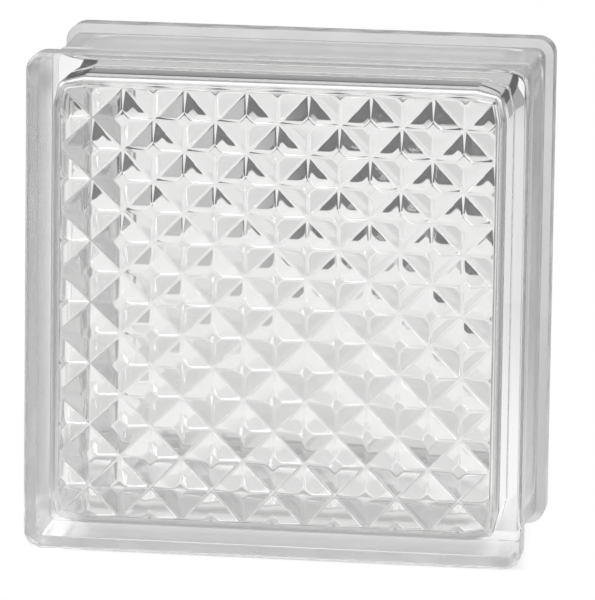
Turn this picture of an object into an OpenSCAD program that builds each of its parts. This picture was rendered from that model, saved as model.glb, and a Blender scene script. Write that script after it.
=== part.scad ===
// Hollow glass block, square face, for mortared walls and windows.
// One piece of glass: two pressed shells fused at mid depth into one sealed body.
// It stands on an edge: X across, Y through the wall (front face at -Y), Z up.
// The origin is the middle of the bottom at floor level. Lengths in mm.

/* [Block] */
// Width of the block, flange to flange
block_w = 196.85; // [150:0.05:250]
// Height of the block, flange to flange
block_h = 196.85; // [150:0.05:250]
// Depth of the block, face to face
block_d = 98.4; // [76:0.1:130]
// Plan radius of the four outer corners
corner_r = 7; // [6:0.5:12]

/* [Flanges] */
// Width of each flange, measured along the depth
flange_w = 13; // [8:0.5:18]
// Rounding of the edge between a face and its flange
face_edge_r = 2; // [0.5:0.25:3]
// Drop of the shoulder from the flange into the mortar channel
shoulder_drop = 3.2; // [2:0.1:4.5]
// Length of the shoulder slope, measured along the depth
shoulder_run = 2.5; // [0.5:0.25:5]

/* [Seam] */
// Depth of the mortar channel at the fused seam, below the flange
channel_depth = 4.8; // [4:0.1:5.5]
// Height of the fused bead that runs round the seam
bead_h = 0.7; // [0.3:0.1:1.2]
// Width of the fused bead
bead_w = 4; // [2:0.25:8]

/* [Glass thickness] */
// Side wall thickness at the seam, bead left out
wall_t = 4.8; // [3.5:0.1:8]
// Face plate thickness at the ridges of the pattern
plate_t = 9; // [7:0.1:14]
// Inner fillet between a face plate and the side wall
inner_fillet = 3.5; // [1:0.25:6]
// Plan radius of the cavity's four corners
cavity_corner_r = 9; // [6:0.5:16]

/* [Pattern] */
// Half cells across the field, an even number
cells_x = 14; // [6:2:20]
// Half cells up the field, an even number
cells_z = 14; // [6:2:20]
// Depth of each pit below the ridges
pit_depth = 2.25; // [1:0.05:4]
// Flat at the bottom of a pit, as a share of the half cell
pit_flat = 0.25; // [0.05:0.01:0.6]
// Sink of the whole field below the inner fillet
field_sink = 0.3; // [0.1:0.05:1]

/* [Hidden] */
$fn = 36;
lap = 1;
// Cavity half sizes, at the side walls and at the plates
cav_x = block_w / 2 - channel_depth - wall_t;
cav_z = block_h / 2 - channel_depth - wall_t;
cav_y = block_d / 2 - plate_t - field_sink;
// Pattern field, inside the inner fillet
field_x = cav_x - inner_fillet;
field_z = cav_z - inner_fillet;
field_corner_r = cavity_corner_r - inner_fillet;
step_x = 2 * field_x / cells_x;
step_z = 2 * field_z / cells_z;
// The slab that carries the pattern reaches this far into the cavity
slab_t = 4;
// Radius whose cap is bead_w wide and bead_h high
bead_r = (bead_w * bead_w / 4 + bead_h * bead_h) / (2 * bead_h);
glass = [0.80, 0.86, 0.85];

// ---- swept frame: a section carried round a rounded rectangle ----
// The children are a 2D section: x outward from the corner centres, y the depth.
// hx and hz are the half distances between the corner centres.

module sweep_sides(hx, hz) {
    for (s = [0, 180]) rotate([0, s, 0])
        translate([hx, 0, -hz]) linear_extrude(2 * hz) children();
    for (s = [90, 270]) rotate([0, s, 0])
        translate([hz, 0, -hx]) linear_extrude(2 * hx) children();
}

module sweep_corners(hx, hz) {
    for (c = [[1, 1, 0], [-1, 1, 90], [-1, -1, 180], [1, -1, 270]])
        translate([c[0] * hx, 0, c[1] * hz]) rotate([90, 0, 0]) rotate([0, 0, c[2]])
            rotate_extrude(angle = 90) children();
}

// ---- outer form ----

// A rectangle of half depth hd whose two outer corners are rounded by r
module rounded_section(from, to, hd, r) {
    translate([from, -hd]) square([to - from - r, 2 * hd]);
    translate([from, r - hd]) square([to - from, 2 * (hd - r)]);
    for (s = [-1, 1]) translate([to - r, s * (hd - r)]) circle(r);
}

// The flanges, the channel between them and the bead at the seam
module rim_section(from) {
    edge = block_d / 2 - flange_w;
    deep = corner_r - channel_depth;
    difference() {
        rounded_section(from, corner_r, block_d / 2, face_edge_r);
        polygon([
            [corner_r + lap, edge], [corner_r, edge],
            [corner_r - shoulder_drop, edge - shoulder_run], [deep, 0],
            [corner_r - shoulder_drop, shoulder_run - edge],
            [corner_r, -edge], [corner_r + lap, -edge]]);
    }
    intersection() {
        translate([deep + bead_h - bead_r, 0]) circle(bead_r);
        translate([from, -bead_w]) square([corner_r - from, 2 * bead_w]);
    }
}

module outer_form() {
    hx = block_w / 2 - corner_r;
    hz = block_h / 2 - corner_r;
    cube([2 * hx, block_d, 2 * hz], center = true);
    sweep_sides(hx, hz) rim_section(-lap);
    sweep_corners(hx, hz) rim_section(0);
}

// ---- sealed cavity ----

module plain_cavity() {
    hx = cav_x - cavity_corner_r;
    hz = cav_z - cavity_corner_r;
    cube([2 * hx, 2 * cav_y, 2 * hz], center = true);
    sweep_sides(hx, hz) rounded_section(-lap, cavity_corner_r, cav_y, inner_fillet);
    sweep_corners(hx, hz) rounded_section(0, cavity_corner_r, cav_y, inner_fillet);
}

// Lattice of the pattern. Nodes with an even i + j stand on the ridges,
// the others are the bottoms of the pits.
n_lat = (cells_x + 1) * (cells_z + 1);
function at(i, j) = i + (cells_x + 1) * j;
function is_pit(i, j) = (i + j) % 2 == 1;
function inside(i, j) = i >= 0 && j >= 0 && i <= cells_x && j <= cells_z;
function plan(i, j, y) = [(i - cells_x / 2) * step_x, y, (j - cells_z / 2) * step_z];
dirs = [[1, 0], [0, 1], [-1, 0], [0, -1]];
pits = [for (j = [0 : cells_z], i = [0 : cells_x]) if (is_pit(i, j)) [i, j]];

// The pattern slab: pits towards -Y, flat on its cavity side
module pattern_slab() {
    ridge = plate_t - block_d / 2;
    deep = ridge - pit_depth;
    back = ridge + slab_t;
    n_pit = len(pits);
    nodes = [for (j = [0 : cells_z], i = [0 : cells_x]) plan(i, j, is_pit(i, j) ? deep : ridge)];
    flats = [for (p = pits, d = dirs) let (
        k = inside(p[0] + d[0], p[1] + d[1]) ? pit_flat : 0)
        plan(p[0] + k * d[0], p[1] + k * d[1], deep)];
    // Four slopes and a flat for every pit, half of them at the field's edge
    slopes = [for (q = [0 : n_pit - 1], k = [0 : 3]) let (
        p = pits[q], a = dirs[k], b = dirs[(k + 1) % 4],
        a_in = inside(p[0] + a[0], p[1] + a[1]), b_in = inside(p[0] + b[0], p[1] + b[1]),
        fa = n_lat + 4 * q + k, fb = n_lat + 4 * q + (k + 1) % 4)
        if (a_in && b_in) each [
            [fa, fb, at(p[0] + b[0], p[1] + b[1]), at(p[0] + a[0], p[1] + a[1])],
            [at(p[0], p[1]), fb, fa]]];
    function rim_of(i, j, k1, k2) = is_pit(i, j)
        ? let (q = search([[i, j]], pits)[0]) [n_lat + 4 * q + k1, at(i, j), n_lat + 4 * q + k2]
        : [at(i, j)];
    rim = concat(
        [for (i = [0 : cells_x - 1]) each rim_of(i, 0, 2, 0)],
        [for (j = [0 : cells_z - 1]) each rim_of(cells_x, j, 3, 1)],
        [for (i = [cells_x : -1 : 1]) each rim_of(i, cells_z, 0, 2)],
        [for (j = [cells_z : -1 : 1]) each rim_of(0, j, 1, 3)]);
    low = concat(nodes, flats);
    n_rim = len(rim);
    top = len(low);
    tops = [for (k = rim) [low[k][0], back, low[k][2]]];
    walls = [for (k = [0 : n_rim - 1]) let (m = (k + 1) % n_rim)
        [top + m, top + k, rim[k], rim[m]]];
    crown = [for (k = [0 : n_rim - 1]) [top + n_rim, top + k, top + (k + 1) % n_rim]];
    polyhedron(
        points = concat(low, tops, [[0, back + lap, 0]]),
        faces = concat(slopes, walls, crown));
}

// Outline of the pattern field, its corners rounded
module field_prism() {
    hx = field_x - field_corner_r;
    hz = field_z - field_corner_r;
    cube([2 * field_x, block_d, 2 * hz], center = true);
    cube([2 * hx, block_d, 2 * field_z], center = true);
    for (x = [-hx, hx], z = [-hz, hz]) translate([x, 0, z]) rotate([90, 0, 0])
        cylinder(h = block_d, r = field_corner_r, center = true);
}

module glass_block() {
    color(glass) translate([0, 0, block_h / 2]) difference() {
        outer_form();
        plain_cavity();
        intersection() {
            pattern_slab();
            field_prism();
        }
        mirror([0, 1, 0]) intersection() {
            pattern_slab();
            field_prism();
        }
    }
}

glass_block();
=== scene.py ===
# %% [markdown]
# # A hollow glass block
#
# This lesson dresses one block of clear pressed glass. A real block starts as two
# shallow shells, pressed in a mould and fused hot along a seam half way through the
# wall. The outer faces are smooth. The pattern, rows of diamond pits with sharp
# ridges between them, is on the inner side of both faces, so light is bent four times
# on its way through. A thick flange runs round each face, with a mortar channel
# between the two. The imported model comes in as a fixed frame, and everything here is
# measured from its box.

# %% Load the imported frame
import math

import bmesh
import bpy
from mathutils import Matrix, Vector


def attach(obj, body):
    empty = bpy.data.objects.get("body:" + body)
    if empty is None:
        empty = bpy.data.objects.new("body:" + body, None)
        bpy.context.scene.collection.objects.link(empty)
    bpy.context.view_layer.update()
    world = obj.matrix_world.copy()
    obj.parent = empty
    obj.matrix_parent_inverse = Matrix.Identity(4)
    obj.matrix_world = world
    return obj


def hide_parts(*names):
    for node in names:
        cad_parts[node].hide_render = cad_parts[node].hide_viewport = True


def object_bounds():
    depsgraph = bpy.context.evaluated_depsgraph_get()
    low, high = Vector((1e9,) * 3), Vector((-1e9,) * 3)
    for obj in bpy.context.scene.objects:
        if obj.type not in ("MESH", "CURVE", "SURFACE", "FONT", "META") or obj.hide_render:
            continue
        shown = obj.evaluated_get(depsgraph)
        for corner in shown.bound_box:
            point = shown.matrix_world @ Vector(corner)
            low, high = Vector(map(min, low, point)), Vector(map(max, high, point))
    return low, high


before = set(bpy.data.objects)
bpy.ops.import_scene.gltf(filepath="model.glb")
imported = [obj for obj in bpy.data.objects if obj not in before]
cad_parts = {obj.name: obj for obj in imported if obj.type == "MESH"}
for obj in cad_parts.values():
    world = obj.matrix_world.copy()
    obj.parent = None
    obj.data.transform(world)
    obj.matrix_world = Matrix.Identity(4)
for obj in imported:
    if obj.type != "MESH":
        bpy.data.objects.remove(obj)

cad_lo, cad_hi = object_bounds()
MM = 0.001
print("CAD box, mm:", [round(v / MM, 2) for v in (*cad_lo, *cad_hi)])

# %% [markdown]
# ## The sizes that shape the glass
#
# The overall box comes from the frame. The rest are the sizes of the pressing: the
# flange, the shoulder that drops into the channel, the bead at the seam, the plate
# and wall thickness, and the pitch and depth of the pattern. They repeat the values
# of the solid model, so the detailed surface lies where the plain one did.

# %% Named sizes
width, depth, height = (cad_hi - cad_lo)
mid_x, mid_y, mid_z = (cad_hi + cad_lo) / 2

corner_r = 7 * MM
flange_w = 13 * MM
face_edge_r = 2 * MM
shoulder_drop = 3.2 * MM
shoulder_run = 2.5 * MM
channel_depth = 4.8 * MM
bead_h = 0.7 * MM
bead_w = 4 * MM
wall_t = 4.8 * MM
plate_t = 9 * MM
inner_fillet = 3.5 * MM
cavity_corner_r = 9 * MM
half_cells = 14
pit_depth = 2.25 * MM
pit_flat = 0.25
field_sink = 0.3 * MM

cavity_half = width / 2 - channel_depth - wall_t
field_half = cavity_half - inner_fillet
field_corner_r = cavity_corner_r - inner_fillet
cell = 2 * field_half / half_cells
ridge_y = depth / 2 - plate_t
print("half cell, mm:", round(cell / MM, 3), " field, mm:", round(2 * field_half / MM, 2))

# %% [markdown]
# ## One pit of the pattern
#
# Each pit is a diamond, a square standing on its corner. Its rim is the sharp ridge,
# level all round. Four slopes run down to a small flat, and they meet in valleys that
# follow the rows and columns. A pressing tool has slightly blunt edges, so the valleys
# and ridges are rounded by a fraction of a millimetre. A bevel modifier would round
# all these creases alike. A formula for the depth lets each one have its own radius.

# %% Depth of the pit
valley_r = 0.8 * MM
ridge_blunt = 0.07
flat_blunt = 0.05
slope = pit_depth / (1 - pit_flat)


def blunt_abs(a, r):
    """Distance from a crease, with the crease itself rounded over a reach of r."""
    a = abs(a)
    return a if a >= r else a * a / (2 * r) + r / 2


def blunt_step(a, r):
    """Zero below a crease and rising above it, rounded over a reach of r."""
    if abs(a) >= r:
        return max(a, 0)
    return (a + r) ** 2 / (4 * r)


def pit_drop(u, v):
    """How far the glass lies below the ridge at u, v from the middle of a pit."""
    s = (blunt_abs(u, valley_r) + blunt_abs(v, valley_r)) / cell
    if s > (1 + pit_flat) / 2:
        return slope * blunt_abs(1 - s, ridge_blunt)
    return pit_depth - slope * blunt_step(s - pit_flat, flat_blunt)


print("drop at the middle, mm:", round(pit_drop(0, 0) / MM, 2))
print("slope of a facet, degrees:", round(math.degrees(math.atan(slope / cell * math.sqrt(2))), 1))

# %% [markdown]
# ## Rings round a pit
#
# A grid of squares could carry the pit, but its steps would cut across the diagonal
# ridges. Rings of diamonds follow ridge and valley exactly, with few faces. The rings
# stand close together where the surface turns, at the flat and at the ridge. Along the
# sides of a ring the points crowd towards the valleys for the same reason.

# %% Rings and steps of the pit
past_turn = 1.4
ring_shares = [0.0, pit_flat - past_turn * flat_blunt, pit_flat - flat_blunt / 2,
               pit_flat + flat_blunt, pit_flat + past_turn * flat_blunt,
               1 - past_turn * ridge_blunt, 1 - ridge_blunt, 1 - ridge_blunt / 2, 1.0]
valley_steps = [share * valley_r for share in (0.0, 0.5, 1.0, 1.35)]
longest_step = 0.12
compass = [(1, 0), (0, 1), (-1, 0), (0, -1)]


def side_steps(share):
    """Shares of a ring's side where its points sit, close together near the valleys."""
    side = share * cell
    near = [min(reach / side, longest_step * k) for k, reach in enumerate(valley_steps)]
    return near + [1 - t for t in near[:0:-1]]


def pit_ring(share, quadrants):
    """Offsets round one diamond ring, over the given quadrants, both ends included."""
    ring = []
    for q in quadrants:
        (ax, az), (bx, bz) = compass[q], compass[(q + 1) % 4]
        for t in side_steps(share):
            ring.append((share * cell * (ax + (bx - ax) * t), share * cell * (az + (bz - az) * t)))
    last = compass[(quadrants[-1] + 1) % 4]
    ring.append((share * cell * last[0], share * cell * last[1]))
    return ring


print("points round a whole ring:", len(pit_ring(1.0, [0, 1, 2, 3])) - 1)

# %% [markdown]
# ## The lattice of pits
#
# The pits sit at every second node of a square lattice, as black squares do on a
# chessboard. A pit whose middle is on the border of the field is cut in half there. It
# could be pressed whole and trimmed with a boolean, but it's cleaner to leave out the
# quarters that lie outside, since the rings are built quarter by quarter anyway.

# %% Pits and their quarters
pit_nodes = [(i, j) for i in range(half_cells + 1) for j in range(half_cells + 1)
             if (i + j) % 2 == 1]


def quadrants_inside(i, j):
    """The quarters of the pit at node i, j that lie in the field, in running order."""
    keep = []
    for q in range(4):
        (ax, az), (bx, bz) = compass[q], compass[(q + 1) % 4]
        x, z = i + ax + bx, j + az + bz
        if 0 <= x <= half_cells and 0 <= z <= half_cells:
            keep.append(q)
    if keep == [0, 3]:
        return [3, 0]
    return keep


halves = sum(len(quadrants_inside(i, j)) == 2 for i, j in pit_nodes)
print("pits in a field:", len(pit_nodes), " of which halves:", halves)

# %% [markdown]
# ## The rounded corners of the field
#
# The cavity has rounded corners, so the square lattice has to fit a rounded square.
# Cutting the pits along the arc would leave slivers. Instead the last few millimetres
# in each corner are drawn in with a smooth map from a square corner to a quarter
# circle, which keeps every ring whole.

# %% Map for the corners
def round_field_corner(x, z):
    """Draws a point of the square field into the field with rounded corners."""
    inner = field_half - field_corner_r
    dx, dz = abs(x) - inner, abs(z) - inner
    if dx <= 0 or dz <= 0:
        return x, z
    k = max(dx, dz) / math.hypot(dx, dz)
    return math.copysign(inner + dx * k, x), math.copysign(inner + dz * k, z)


drawn_in = field_half - round_field_corner(field_half, field_half)[0]
print("the corner moves in by, mm:", round(drawn_in / MM, 2))

# %% [markdown]
# ## Pressing the pattern
#
# The same pattern is pressed into the front plate and the back plate. One pit could be
# copied with an array modifier, but the halves at the border and the drawn-in corners
# differ, so each pit is built in its own place: rings of points from its middle to its
# ridge, joined by faces.

# %% Press the pits
def press_pit(bm, i, j, side):
    """Adds one pit, or the half of it that lies in the field."""
    cx = (i - half_cells / 2) * cell
    cz = (j - half_cells / 2) * cell
    quadrants = quadrants_inside(i, j)
    rows = []
    for share in ring_shares[1:]:
        row = []
        for u, v in pit_ring(share, quadrants):
            x, z = round_field_corner(cx + u, cz + v)
            y = side * (ridge_y + pit_drop(u, v))
            row.append(bm.verts.new((mid_x + x, mid_y + y, mid_z + z)))
        rows.append(row)
    x, z = round_field_corner(cx, cz)
    centre = bm.verts.new((mid_x + x, mid_y + side * (ridge_y + pit_drop(0, 0)), mid_z + z))
    for a, b in zip(rows[0], rows[0][1:]):
        bm.faces.new((centre, a, b))
    for low, high in zip(rows, rows[1:]):
        for k in range(len(low) - 1):
            bm.faces.new((low[k], high[k], high[k + 1], low[k + 1]))


def press_field(bm, side):
    """Adds the whole pattern at the front (side -1) or the back (side 1)."""
    for i, j in pit_nodes:
        press_pit(bm, i, j, side)
    print("faces after the", "front" if side < 0 else "back", "field:", len(bm.faces))


print("rings in a pit:", len(ring_shares) - 1)

# %% [markdown]
# ## Small radii on the sections
#
# The flanges, the channel and the side wall of the cavity have one section all the
# way round, drawn as a line with corners. No edge of pressed and fire-polished glass is
# truly sharp, and a small radius is what catches the light. A bevel could add the
# radii to the finished mesh. Rounding the section first is surer, since the thin
# channel leaves little room and each corner has a radius of its own.

# %% Round the corners of a section
straight_enough = math.radians(178)
side_share = 0.48


def blunt(points, radii, steps):
    """Replaces each inner corner of a polyline by a small arc of its own radius."""
    out = [points[0]]
    for k in range(1, len(points) - 1):
        p = Vector(points[k])
        a, b = Vector(points[k - 1]) - p, Vector(points[k + 1]) - p
        turn = a.angle(b)
        r = radii[k - 1]
        if r <= 0 or turn > straight_enough:
            out.append(points[k])
            continue
        reach = min(r / math.tan(turn / 2), side_share * a.length, side_share * b.length)
        r = reach * math.tan(turn / 2)
        mid = p + (a.normalized() + b.normalized()).normalized() * (r / math.sin(turn / 2))
        start = p + a.normalized() * reach - mid
        end = p + b.normalized() * reach - mid
        for n in range(steps + 1):
            spoke = start.lerp(end, n / steps).normalized() * r
            out.append(tuple(mid + spoke))
    out.append(points[-1])
    return out


print("points in a rounded right angle:", len(blunt([(0, 0), (1, 0), (1, 1)], [0.1], 4)))

# %% [markdown]
# ## Stations round the block
#
# A section that runs round the block is swept: a list of stations follows a rounded
# square, and each station carries the same section. A curve with a bevel object would
# do this too. Plain stations are chosen because the section then stays square to the
# side at every point, also in the corners.

# %% Stations of a rounded square
straight_steps = 28
corner_steps = 8


def square_stations(half, radius):
    """Stations round a rounded square: a corner-centre point and an outward direction."""
    core = half - radius
    stations = []
    for q in range(4):
        a = math.radians(90 * q)
        nx, nz = round(math.cos(a)), round(math.sin(a))
        tx, tz = -nz, nx
        for k in range(straight_steps):
            t = core * (2 * k / straight_steps - 1)
            stations.append((nx * core + tx * t, nz * core + tz * t, nx, nz))
        for k in range(corner_steps):
            c = a + math.radians(90) * k / corner_steps
            px, pz = (nx + tx) * core, (nz + tz) * core
            stations.append((px, pz, math.cos(c), math.sin(c)))
    return stations


print("stations round the outside:", len(square_stations(width / 2, corner_r)))

# %% [markdown]
# ## The outer section
#
# Seen in section, the side of the block starts at the rounded edge of a face. It runs
# along the flange, down the sloped shoulder, and along the floor of the mortar channel
# to the bead, where the two shells were fused. From there it's the same again in
# mirror image, so only half of it is written down.

# %% Section of the flanges and the channel
edge_steps = 5
face_inset = 5 * face_edge_r / 2
lip_r = 1.0 * MM
shoulder_foot_r = 1.2 * MM
bead_foot_r = 0.8 * MM
bead_r = 2.5 * MM


def outer_section():
    """Out from the corner centres, and depth, from the front face to the back face."""
    edge = depth / 2 - flange_w
    deep = corner_r - channel_depth
    bead_foot = bead_w / 2
    foot_out = deep + bead_foot / (edge - shoulder_run) * (channel_depth - shoulder_drop)
    half = [
        (corner_r - face_inset, -depth / 2),
        (corner_r, -depth / 2),
        (corner_r, -edge),
        (corner_r - shoulder_drop, shoulder_run - edge),
        (foot_out, -bead_foot),
        (deep + bead_h, 0)]
    whole = half + [(o, -y) for o, y in half[-2::-1]]
    radii = [face_edge_r, lip_r, shoulder_foot_r, bead_foot_r, bead_r]
    return blunt(whole, radii + radii[-2::-1], edge_steps)


print("points in the outer section:", len(outer_section()))

# %% [markdown]
# ## Smooth faces that are not quite flat
#
# The outer faces look flat, but hot glass that has left its mould is never a perfect
# plane. A displacement texture could wave them, but a formula is easier to hold inside
# the block's size. A few slow waves, hundredths of a millimetre deep, are added to the
# mesh, always inwards. They fade out at the edge.

# %% Waves of the outer faces
wave_depth = 0.05 * MM
wave_fade = 12 * MM
# Strength, turns across and up (radians a metre), share of the side's shift, own shift.
face_waves = [(1.0, 61, 17, 1, 0), (1.0, -29, 43, 2, 0), (0.5, 97, -53, 0, 1.3), (0.5, 71, 88, -1, 0)]
wave_sum = sum(wave[0] for wave in face_waves)


def face_wave(x, z, side):
    """Inward offset of an outer face at x, z from its middle."""
    swing = sum(strength * math.sin(across * x + up * z + turn * side + shift)
                for strength, across, up, turn, shift in face_waves)
    rim = min(width / 2 - abs(x), height / 2 - abs(z)) / wave_fade
    return wave_depth * (wave_sum + swing) / (2 * wave_sum) * min(max(rim, 0), 1)


print("wave at the middle, mm:", round(face_wave(0, 0, 1) / MM, 4))

# %% [markdown]
# ## Closing a face
#
# Each face is closed with shrinking copies of its own border, joined ring by ring. One
# large polygon would be simpler, but it couldn't hold the waves. The helper that joins
# rings also sets the finish of the faces that it makes, clear unless told otherwise.

# %% Join rings and close a face
clear_finish, frosted_finish = 0, 1
face_rings = 16


def join_rings(bm, rings, finish=clear_finish):
    """Faces between each ring of points and the next, all in one finish."""
    for low, high in zip(rings, rings[1:]):
        n = len(low)
        for k in range(n):
            face = bm.faces.new((low[k], low[(k + 1) % n], high[(k + 1) % n], high[k]))
            face.material_index = finish


def close_face(bm, ring, side):
    """Fills a face with shrinking copies of its border, waved a little."""
    y = mid_y + side * depth / 2
    fill = [ring]
    for k in range(1, face_rings):
        share = 1 - k / face_rings
        new = []
        for v in ring:
            x, z = (v.co.x - mid_x) * share, (v.co.z - mid_z) * share
            wave = face_wave(x, z, side)
            new.append(bm.verts.new((mid_x + x, y - side * wave, mid_z + z)))
        fill.append(new)
    join_rings(bm, fill)
    centre = bm.verts.new((mid_x, y - side * face_wave(0, 0, side), mid_z))
    last = fill[-1]
    for a, b in zip(last, last[1:] + last[:1]):
        bm.faces.new((a, b, centre))


print("rings that fill a face:", face_rings)

# %% [markdown]
# ## The outer shell
#
# The section is swept round the block. A screw modifier could sweep it, but only round
# a circle. The two finishes of the block are kept apart here: the faces and their
# rounded edges stay clear, and everything between them, where mortar goes, gets the
# frosted finish.

# %% Wrap the outside
def wrap_outside(bm):
    """Sweeps the outer section round the block and closes the two faces."""
    stations = square_stations(width / 2, corner_r)
    rings = []
    for out, y in outer_section():
        ring = []
        for px, pz, nx, nz in stations:
            ring.append(bm.verts.new((mid_x + px + nx * out, mid_y + y, mid_z + pz + nz * out)))
        rings.append(ring)
    edge = 1 + edge_steps
    join_rings(bm, rings[:edge + 1])
    join_rings(bm, rings[edge:-edge], frosted_finish)
    join_rings(bm, rings[-edge - 1:])
    close_face(bm, rings[0], -1)
    close_face(bm, rings[-1], 1)
    print("faces of the outside:", len(bm.faces))


print("rings before the frosted finish starts:", 1 + edge_steps)

# %% [markdown]
# ## The border of the pattern
#
# The side wall of the cavity starts at the border of the pattern. Two meshes that only
# touch would leave a crack, and a refracting material shows every crack. So the wall's
# stations are the border points of the pattern itself, in running order, and the two
# share their points.

# %% Border points of the field
def field_border():
    """Plan position and pit drop of each border point, in order round the field."""
    border = []
    for q in range(4):
        a = math.radians(90 * q)
        nx, nz = round(math.cos(a)), round(math.sin(a))
        tx, tz = -nz, nx
        for k in range(half_cells):
            if k % 2 == 1:
                steps = [(k, share) for share in ring_shares[:-1]]
            else:
                steps = [(k + 1, -share) for share in ring_shares[:0:-1]]
            for node, off in steps:
                t = (node - half_cells / 2 + off) * cell
                x, z = nx * field_half + tx * t, nz * field_half + tz * t
                border.append((x, z, pit_drop(off * cell, 0)))
    return border


def outward(x, z):
    """Direction out of the rounded field at a border point."""
    inner = field_half - field_corner_r
    dx, dz = max(abs(x) - inner, 0), max(abs(z) - inner, 0)
    length = math.hypot(dx, dz)
    return math.copysign(dx / length, x), math.copysign(dz / length, z)


print("points round the border:", len(field_border()))

# %% [markdown]
# ## The cavity wall
#
# From the border of the front pattern the wall turns through the inner fillet, leans
# out a little on its way to the seam, as anything does that has to leave a mould, and
# meets the same shape from the back. At the seam the fused glass stands in as a low
# ridge. The wall is swept like the outside, on the stations of the border.

# %% Line the cavity
fillet_steps = 12
fillet_end_out = 0.03 * MM
seam_lean = 0.5 * MM
seam_ridge = [(0.25, 6), (0.3, 2), (0.8, 0.8), (1.0, 0)]


def cavity_section():
    """Out from the border, and depth, from the front fillet to the back fillet."""
    plate = ridge_y - field_sink
    seam_out = inner_fillet + seam_lean
    front = []
    for k in range(fillet_steps + 1):
        a = math.radians(90) * k / fillet_steps
        front.append((inner_fillet * math.sin(a), inner_fillet * (1 - math.cos(a)) - plate))
    front.append((inner_fillet + fillet_end_out, 2 * inner_fillet - plate))
    for stands_in, off_seam in seam_ridge:
        front.append((seam_out - stands_in * MM, -off_seam * MM))
    return front + [(o, -y) for o, y in front[-2::-1]]


def line_cavity(bm):
    """Adds the wall between the front field and the back field."""
    border = []
    for x, z, drop in field_border():
        x, z = round_field_corner(x, z)
        border.append((x, z, *outward(x, z), drop))
    front = [bm.verts.new((mid_x + x, mid_y - ridge_y - drop, mid_z + z))
             for x, z, nx, nz, drop in border]
    wall = [[bm.verts.new((mid_x + x + nx * out, mid_y + y, mid_z + z + nz * out))
             for x, z, nx, nz, drop in border] for out, y in cavity_section()]
    back = [bm.verts.new((mid_x + x, mid_y + ridge_y + drop, mid_z + z))
            for x, z, nx, nz, drop in border]
    join_rings(bm, [front, *wall, back])


print("points in the cavity section:", len(cavity_section()))

# %% [markdown]
# ## One closed body of glass
#
# Outside and inside go into one mesh, because a refracting material needs to know
# where glass begins and ends. The outer skin's normals point out of the block, and
# the cavity's normals point into the hollow, which is also out of the glass. A boolean
# could cut the cavity out, but the two skins never meet, so joining them is enough.

# %% Build the two skins
weld_reach = 0.0005 * MM
sliver_size = 0.0001 * MM


def skin(builders, name):
    """Builds one closed skin and returns its bmesh, normals outwards."""
    bm = bmesh.new()
    for builder in builders:
        builder(bm)
    bmesh.ops.remove_doubles(bm, verts=bm.verts, dist=weld_reach)
    bmesh.ops.dissolve_degenerate(bm, edges=bm.edges, dist=sliver_size)
    bmesh.ops.recalc_face_normals(bm, faces=bm.faces)
    open_edges = sum(1 for e in bm.edges if not e.is_manifold)
    if bm.calc_volume(signed=True) < 0:
        bmesh.ops.reverse_faces(bm, faces=bm.faces)
    print(name, "volume, cm3:", round(bm.calc_volume() * 1e6, 1), "open edges:", open_edges)
    return bm


outside = skin([wrap_outside], "outside")
hollow = skin([lambda bm: press_field(bm, -1), lambda bm: press_field(bm, 1), line_cavity], "hollow")
bmesh.ops.reverse_faces(hollow, faces=hollow.faces)

# %% [markdown]
# ## Joining the skins
#
# The hollow is read into the outside's mesh, as it is, with its normals turned round.
# Nothing is welded between them. The volume that's left between the skins is the glass.

# %% Join the skins into one mesh
hollow_mesh = bpy.data.meshes.new("hollow")
hollow.to_mesh(hollow_mesh)
outside.from_mesh(hollow_mesh)
bpy.data.meshes.remove(hollow_mesh)
glass_mesh = bpy.data.meshes.new("pressed_glass")
outside.to_mesh(glass_mesh)
print("volume of glass, cm3:", round(outside.calc_volume(signed=True) * 1e6, 1))
outside.free()
hollow.free()

# %% [markdown]
# ## Shading that keeps the facets flat
#
# A facet of the pattern is flat right up to its narrow rounded crease. Smooth shading
# alone would bend it from edge to edge, and flat shading would show the steps of the
# rounding. So the faces are smooth, and each point of the pattern takes its normal
# mostly from the larger faces round it. The bend then stays in the narrow strips.

# %% Normals of the pattern
border_reach = 0.01 * MM
pattern_from = ridge_y - 0.5 * MM
pattern_to = depth / 2 - 1.5 * MM


def in_pattern(co):
    """True for a point of the pressed pattern, on either plate."""
    x, y, z = co.x - mid_x, co.y - mid_y, co.z - mid_z
    return max(abs(x), abs(z)) < field_half - border_reach and pattern_from < abs(y) < pattern_to


for polygon in glass_mesh.polygons:
    polygon.use_smooth = True
pattern_points = [in_pattern(v.co) for v in glass_mesh.vertices]
shading = [Vector((0, 0, 0)) if pressed else v.normal.copy()
           for v, pressed in zip(glass_mesh.vertices, pattern_points)]
for polygon in glass_mesh.polygons:
    for v in polygon.vertices:
        if pattern_points[v]:
            shading[v] += polygon.normal * polygon.area
glass_mesh.normals_split_custom_set_from_vertices([n.normalized() for n in shading])
print("points shaded by the larger face:", sum(pattern_points))

# %% [markdown]
# ## The piece
#
# The whole block is one piece of glass, so it's one object. It rides on the part's only
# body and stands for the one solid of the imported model.

# %% Make the piece
pressed_glass = bpy.data.objects.new("pressed_glass", glass_mesh)
bpy.context.scene.collection.objects.link(pressed_glass)
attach(pressed_glass, "root")
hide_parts("glass_block")
glass_mesh.calc_loop_triangles()
print("triangles in the glass:", len(glass_mesh.loop_triangles))

# %% [markdown]
# ## What both finishes share
#
# Both finishes of the block are the same glass, and neither is quite even. Each gets
# its unevenness from noise that is fixed to the piece. An image could hold it too, but
# noise needs no unwrapping and looks as fine from near as from far.

# %% Nodes that the finishes use
glass_ior = 1.52
bump_height = 0.6 * MM


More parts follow.
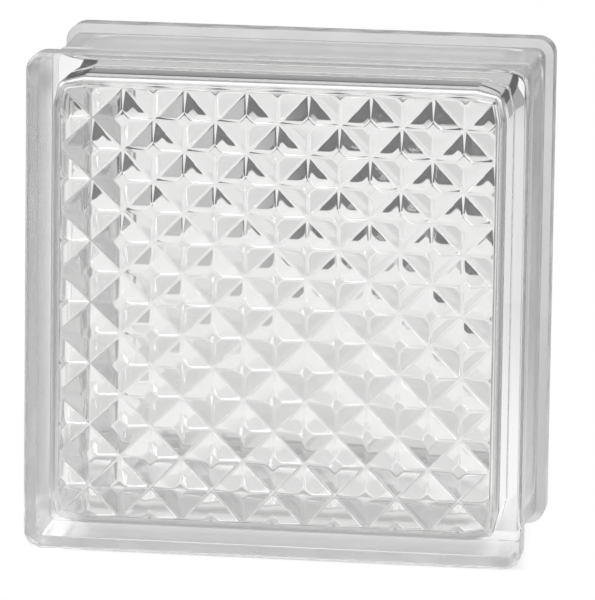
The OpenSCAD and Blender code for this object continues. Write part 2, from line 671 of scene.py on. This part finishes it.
def object_noise(nodes, links, scale, detail):
    """A cloudy value between 0 and 1 that is fixed to the piece."""
    where = nodes.new("ShaderNodeTexCoord")
    noise = nodes.new("ShaderNodeTexNoise")
    noise.inputs["Scale"].default_value = scale
    noise.inputs["Detail"].default_value = detail
    links.new(where.outputs["Object"], noise.inputs["Vector"])
    return noise.outputs["Fac"]


def spread(nodes, links, source, start, end, low, high):
    """Maps a value evenly from one range to another."""
    step = nodes.new("ShaderNodeMapRange")
    for socket, value in (("From Min", start), ("From Max", end), ("To Min", low), ("To Max", high)):
        step.inputs[socket].default_value = value
    links.new(source, step.inputs["Value"])
    return step.outputs["Result"]


def add_bump(nodes, links, source, strength, shader):
    """Lets a value tilt the shader's surface a little."""
    bump = nodes.new("ShaderNodeBump")
    bump.inputs["Strength"].default_value = strength
    bump.inputs["Distance"].default_value = bump_height
    links.new(source, bump.inputs["Height"])
    links.new(bump.outputs["Normal"], shader.inputs["Normal"])


print("refractive index:", glass_ior, " height of the bumps, mm:", round(bump_height / MM, 2))

# %% [markdown]
# ## The clear glass
#
# Soda-lime glass bends light by about 1.52 and has hardly any colour. The surface is
# fire-polished, so it's smooth but not optical. A glass shader alone would look like a
# lens. A slow, faint ripple is added as bump, and the roughness varies a little, since
# both are too fine to be worth modelling.

# %% Clear glass material
glass_tint = (0.943, 0.943, 0.94, 1)
ripple_scale, ripple_detail = 45, 1.5
ripple_strength = 0.015
dull_scale, dull_detail = 30, 2
most_dull = 0.02


def clear_glass():
    mat = bpy.data.materials.new("clear_pressed_glass")
    mat.use_nodes = True
    nodes, links = mat.node_tree.nodes, mat.node_tree.links
    shader = nodes["Principled BSDF"]
    shader.inputs["Transmission Weight"].default_value = 1.0
    shader.inputs["IOR"].default_value = glass_ior
    shader.inputs["Base Color"].default_value = glass_tint
    ripple = object_noise(nodes, links, ripple_scale, ripple_detail)
    add_bump(nodes, links, ripple, ripple_strength, shader)
    dull = object_noise(nodes, links, dull_scale, dull_detail)
    links.new(spread(nodes, links, dull, 0, 1, 0, most_dull), shader.inputs["Roughness"])
    return mat


glass_mesh.materials.append(clear_glass())
print("ripple strength:", ripple_strength, " greatest roughness:", most_dull)

# %% [markdown]
# ## The frosted mortar sides
#
# Mortar doesn't hold on polished glass. The flange sides and the channel of a real
# block are therefore dulled by a thin milky coat. Seen through the clear faces, it
# turns the rim into an even pale grey, where bare glass would sparkle. The coat is far
# too thin to model, so it's a second material on the same mesh: rough glass that lets
# most light through, greyed, with a faint cloudiness.

# %% Frosted side material
frost_clear = 0.8
frost_rough = 0.27
frost_dark, frost_light = 0.47, 0.53
cloud_scale, cloud_detail = 45, 1
cloud_low, cloud_high = 0.3, 0.7
cloud_strength = 0.12


def frosted_side():
    mat = bpy.data.materials.new("frosted_mortar_side")
    mat.use_nodes = True
    nodes, links = mat.node_tree.nodes, mat.node_tree.links
    shader = nodes["Principled BSDF"]
    shader.inputs["Transmission Weight"].default_value = frost_clear
    shader.inputs["IOR"].default_value = glass_ior
    shader.inputs["Roughness"].default_value = frost_rough
    cloud = object_noise(nodes, links, cloud_scale, cloud_detail)
    tone = spread(nodes, links, cloud, cloud_low, cloud_high, frost_dark, frost_light)
    links.new(tone, shader.inputs["Base Color"])
    add_bump(nodes, links, cloud, cloud_strength, shader)
    return mat


glass_mesh.materials.append(frosted_side())
print("finishes:", [m.name for m in glass_mesh.materials])

# %% [markdown]
# ## Floor, backdrop and light
#
# Clear glass has no colour of its own: it shows what stands around it, bent. So the
# surroundings are designed first. A plain pale floor and a round white reflector
# behind give the white that shows straight through. The reflector's curved top edge is
# lower than the block, and the room beyond it is dark near the horizon. The slopes
# that lift the view look over that edge, which darkens them in the upper rows and lets
# them fade below. The room is bright again overhead. Lamps would light these surfaces
# unevenly, so each of them glows by itself, in a pattern made from a few soft steps.

# %% Nodes that the stage uses
def glow(name):
    """A plain glow of strength 1, with its nodes ready for a fade."""
    mat = bpy.data.materials.new(name)
    mat.use_nodes = True
    nodes, links = mat.node_tree.nodes, mat.node_tree.links
    nodes.remove(nodes["Principled BSDF"])
    light = nodes.new("ShaderNodeEmission")
    light.inputs["Strength"].default_value = 1.0
    light.inputs["Color"].default_value = (1, 1, 1, 1)
    links.new(light.outputs["Emission"], nodes["Material Output"].inputs["Surface"])
    return mat, nodes, links, light


def ramp(nodes, links, source, start, end, low, high):
    """A smooth step of a value: low before start, high after end."""
    step = spread(nodes, links, source, start, end, low, high)
    step.node.interpolation_type = "SMOOTHSTEP"
    return step


def combine(nodes, links, operation, a, b=None):
    """One step of arithmetic on values; b may be a number, a value or nothing."""
    sums = nodes.new("ShaderNodeMath")
    sums.operation = operation
    for slot, part in enumerate((a, b)):
        if isinstance(part, (int, float)):
            sums.inputs[slot].default_value = part
        elif part is not None:
            links.new(part, sums.inputs[slot])
    return sums.outputs[0]


def parts_of(nodes, links, vector):
    """The x, y and z of a vector, as three values."""
    split = nodes.new("ShaderNodeSeparateXYZ")
    links.new(vector, split.inputs[0])
    return split.outputs


print("stage helpers: glow, ramp, combine, parts_of")

# %% [markdown]
# ## Panels of the stage
#
# The floor, the reflector and the soft box are each one flat polygon. A plane or circle
# could be added and scaled, but written corners are easier to place exactly. They belong
# to the stage, so they aren't pieces of the block.

# %% A panel
def stage_mesh(name, corners, mat):
    """One flat polygon of the stage, in its own glow."""
    mesh = bpy.data.meshes.new(name)
    mesh.from_pydata(corners, [], [tuple(range(len(corners)))])
    mesh.materials.append(mat)
    obj = bpy.data.objects.new(name, mesh)
    bpy.context.scene.collection.objects.link(obj)
    return obj


square_corners = ((-1, -1), (1, -1), (1, 1), (-1, 1))
print("corners of a square panel:", square_corners)

# %% [markdown]
# ## A lane along the line of sight
#
# What shows through and beside the block is a lane of floor along the line of sight. It
# runs a little askew and widens behind. A second floor could be laid there, but its
# edges would show, so the lane is a measure on the one floor: how far a point lies
# beside the line of sight.

# %% Measure across the lane
sight_slant = 0.149
sight_spread, least_spread = 0.55, 0.3


def beside_sight(nodes, links, x, y):
    """How far a point lies beside the line of sight, in a measure that widens behind."""
    across = combine(nodes, links, "ADD", x, combine(nodes, links, "MULTIPLY", y, sight_slant))
    across = combine(nodes, links, "ABSOLUTE", across)
    widen = combine(nodes, links, "ADD", combine(nodes, links, "MULTIPLY", y, sight_spread), 1.0)
    return combine(nodes, links, "DIVIDE", across, combine(nodes, links, "MAXIMUM", widen, least_spread))


print("slant of the lane, degrees:", round(math.degrees(math.atan(sight_slant)), 1))

# %% [markdown]
# ## The shade of the block
#
# Just behind the block the floor is a little darker, as the block takes some of its
# light. A real shadow of clear glass is full of bright caustics that render slowly and
# with noise, so this soft shade is part of the floor's glow instead. It's deepest under
# the block and fades over the next half metre.

# %% Shade behind the block
shade_inner, shade_outer = 0.080, 0.098
shade_start, shade_full = -0.050, -0.040
under_to, near_at, far_at = 0.03, 0.10, 0.60
under_shade, near_shade, far_shade = 0.65, 0.22, 0.06


def block_shade(nodes, links, across, y):
    """How much light the block takes from the floor under it and behind it."""
    inside = ramp(nodes, links, across, shade_inner, shade_outer, 1.0, 0.0)
    begin = ramp(nodes, links, y, shade_start, shade_full, 0.0, 1.0)
    near = ramp(nodes, links, y, under_to, near_at, under_shade, near_shade)
    far = ramp(nodes, links, y, near_at, far_at, 1.0, far_shade / near_shade)
    shade = combine(nodes, links, "MULTIPLY", near, far)
    return combine(nodes, links, "MULTIPLY", shade, combine(nodes, links, "MULTIPLY", begin, inside))


print("share of light taken under the block, near it and far behind:", under_shade, near_shade, far_shade)

# %% [markdown]
# ## The floor
#
# The floor glows white in the lane behind and beside the block. To the left, to the right
# and in front its glow is lower, a painted shade, which the rim picks up. Grey cards on a
# white floor would do this with hard edges. A graded glow has none.

# %% Floor
floor_half = 4.0
floor_clearance = 0.2 * MM
floor_z = cad_lo.z - floor_clearance
lane_inner, lane_outer = 0.124, 0.27
apron_near, apron_far = -0.20, -0.50
# Glow of the floor where it is painted in shade, beside the lane and in front.
floor_painted_shade = 0.42


def floor_glow():
    mat, nodes, links, light = glow("pale_floor")
    place = parts_of(nodes, links, nodes.new("ShaderNodeTexCoord").outputs["Object"])
    x, y = place["X"], place["Y"]
    across = beside_sight(nodes, links, x, y)
    # Painted shade: the glow drops beside the lane and in front of the block.
    lane = ramp(nodes, links, across, lane_inner, lane_outer, 1.0, floor_painted_shade)
    apron = ramp(nodes, links, y, apron_far, apron_near, floor_painted_shade, 1.0)
    shade = block_shade(nodes, links, across, y)
    left = combine(nodes, links, "SUBTRACT", 1.0, shade)
    whole = combine(nodes, links, "MULTIPLY", left, combine(nodes, links, "MINIMUM", lane, apron))
    links.new(whole, light.inputs["Strength"])
    return mat


stage_mesh("floor", [(x * floor_half, y * floor_half, floor_z) for x, y in square_corners], floor_glow())
print("floor at, mm:", round(floor_z / MM, 2))

# %% [markdown]
# ## The white of the reflector and its grey card
#
# A round white reflector stands behind the block, sunk so far that only its top shows
# above the floor, with a soft edge. Towards its right its glow drops a little, a painted
# shade. At its left a mid-grey card takes over beyond that edge, and greys the slopes of
# the left columns that look that way. The two could be separate panels. One disc with a
# graded glow has no seam between them. From behind it is clear, so that it doesn't hide
# the block.

# %% Glow of the reflector
reflector_gap = 0.50
sight_height = 0.103
reflector_r = 0.85 * reflector_gap
reflector_x = -0.16 * reflector_gap
reflector_z = sight_height - 0.72 * reflector_gap
reflector_soft = 0.04
# Painted shade: towards its right the reflector's glow drops to this share.
right_fade_from, right_fade_to, right_painted_shade = 0.17, 0.26, 0.80
side_card_grey = 0.56
side_card_from, side_card_to = -0.20, -0.15


def reflector_glow():
    """White out to a soft edge, with painted shade to the right, grey on the card, and clear from behind.
    """
    mat, nodes, links, light = glow("white_reflector")
    where = nodes.new("ShaderNodeTexCoord").outputs["Object"]
    x = parts_of(nodes, links, where)["X"]
    out = nodes.new("ShaderNodeVectorMath")
    out.operation = "LENGTH"
    links.new(where, out.inputs[0])
    gone = ramp(nodes, links, out.outputs["Value"], reflector_r - reflector_soft / 2,
                reflector_r + reflector_soft / 2, 0.0, 1.0)
    # Painted shade towards the right of the reflector.
    right = ramp(nodes, links, x, right_fade_from, right_fade_to, 1.0, right_painted_shade)
    off_card = ramp(nodes, links, x, side_card_from, side_card_to, 0.0, 1.0)
    on_card = combine(nodes, links, "SUBTRACT", 1.0, off_card)
    card = combine(nodes, links, "MULTIPLY", gone, on_card)
    card = combine(nodes, links, "MULTIPLY", card, 1 - side_card_grey)
    strength = combine(nodes, links, "MULTIPLY", right, combine(nodes, links, "SUBTRACT", 1.0, card))
    links.new(strength, light.inputs["Strength"])
    gone = combine(nodes, links, "MINIMUM", gone, off_card)
    side = nodes.new("ShaderNodeNewGeometry")
    hidden = combine(nodes, links, "MAXIMUM", gone, side.outputs["Backfacing"])
    clear = nodes.new("ShaderNodeBsdfTransparent")
    mix = nodes.new("ShaderNodeMixShader")
    links.new(hidden, mix.inputs["Fac"])
    links.new(light.outputs["Emission"], mix.inputs[1])
    links.new(clear.outputs["BSDF"], mix.inputs[2])
    links.new(mix.outputs["Shader"], nodes["Material Output"].inputs["Surface"])
    return mat


print("radius of the white, mm:", round(reflector_r / MM), " grey of the card:", side_card_grey)

# %% [markdown]
# ## Placing the reflector
#
# The disc is a polygon with many corners, large enough for the card as well. It stands
# half a metre behind the block. The glass itself casts no shadow on it or on the floor,
# since the floor's glow already holds the shade.

# %% Place the reflector
card_reach = 0.16
disc_points = 96
turns = [math.radians(360 * k / disc_points) for k in range(disc_points)]
disc_r = reflector_r + card_reach
reflector = stage_mesh("reflector", [(disc_r * math.cos(a), 0, disc_r * math.sin(a))
                                     for a in turns], reflector_glow())
reflector.location = (reflector_x, cad_hi.y + reflector_gap, reflector_z)
pressed_glass.visible_shadow = False
print("top of the reflector, mm:", round((reflector_z + reflector_r) / MM))

# %% [markdown]
# ## The soft box
#
# One tall bright panel stands in front, to the right. Its mirror image is what draws
# the thin bright dashes along the valleys and the light on the rounded edges. An area
# lamp could do the same, but a panel that is part of the scene also shows in the glass,
# as a real soft box does.

# %% Soft box
soft_box_w = 0.32
soft_box_h = 0.74
soft_box_power = 9.0
soft_box_distance = 1.5
soft_box_azimuth = math.radians(30)

soft_box_mat, _, _, soft_box_light = glow("soft_box")
soft_box_light.inputs["Strength"].default_value = soft_box_power
soft_box = stage_mesh("soft_box", [(x * soft_box_w / 2, 0, z * soft_box_h)
                                   for x, z in ((-1, 0), (1, 0), (1, 1), (-1, 1))], soft_box_mat)
soft_box.location = (soft_box_distance * math.sin(soft_box_azimuth),
                     -soft_box_distance * math.cos(soft_box_azimuth), floor_z)
soft_box.rotation_euler = (0, 0, soft_box_azimuth)
print("soft box at, m:", [round(v, 2) for v in soft_box.location])

# %% [markdown]
# ## The room
#
# The room is what the slopes show when they look past everything else: dark in a narrow
# band above the horizon, mid-grey on the sides and bright overhead. An image of a real
# studio could stand round the block, but a few steps by height are plainer and hold at
# any size. The colours stay as they are lit, without a film curve, so that white stays
# white.

# %% Room
room_dark, room_side, room_top = 0.11, 0.62, 1.9
dark_up_to = math.sin(math.radians(6.5))
side_from = math.sin(math.radians(8.5))
top_start = math.sin(math.radians(15))
top_full = math.sin(math.radians(45))

world = bpy.data.worlds.new("room")
bpy.context.scene.world = world
world.use_nodes = True
room_nodes, room_links = world.node_tree.nodes, world.node_tree.links
room_way = room_nodes.new("ShaderNodeTexCoord")
upward = parts_of(room_nodes, room_links, room_way.outputs["Generated"])["Z"]
room_light = combine(room_nodes, room_links, "ADD",
                     ramp(room_nodes, room_links, upward, dark_up_to, side_from, room_dark, room_side),
                     ramp(room_nodes, room_links, upward, top_start, top_full, 0, room_top - room_side))
room_nodes["Background"].inputs["Color"].default_value = (1, 1, 1, 1)
room_links.new(room_light, room_nodes["Background"].inputs["Strength"])
bpy.context.scene.view_settings.view_transform = "Standard"
print("room light at the horizon, side and top:", room_dark, room_side, room_top)

# %% [markdown]
# ## Camera
#
# A long lens far away, a little to the right of the block and a little above it, so
# that the right flange and the top flange both show. A track-to constraint could aim
# it, but it would leave no room for the slight roll, so the aim is worked out here.

# %% Camera
camera_distance = 2.426
camera_azimuth = math.radians(8.46)
camera_elevation = math.radians(10.55)
camera_roll = math.radians(0.77)
camera_lens = 367.4
aim_right, aim_below_middle = 2.2 * MM, 4.0 * MM

aim = Vector((aim_right, 0, mid_z - aim_below_middle))
back = Vector((math.sin(camera_azimuth) * math.cos(camera_elevation),
               -math.cos(camera_azimuth) * math.cos(camera_elevation),
               math.sin(camera_elevation)))
camera_data = bpy.data.cameras.new("camera")
camera_data.lens = camera_lens
camera_data.sensor_width = 36
camera_data.clip_end = 50
camera = bpy.data.objects.new("camera", camera_data)
camera.location = aim + back * camera_distance
look = (-back).to_track_quat("-Z", "Y").to_matrix()
right, up = look.col[0], look.col[1]
c, s = math.cos(camera_roll), math.sin(camera_roll)
look.col[0], look.col[1] = right * c + up * s, up * c - right * s
camera.rotation_euler = look.to_euler()
bpy.context.scene.collection.objects.link(camera)
bpy.context.scene.camera = camera
print("camera at, m:", [round(v, 3) for v in camera.location])
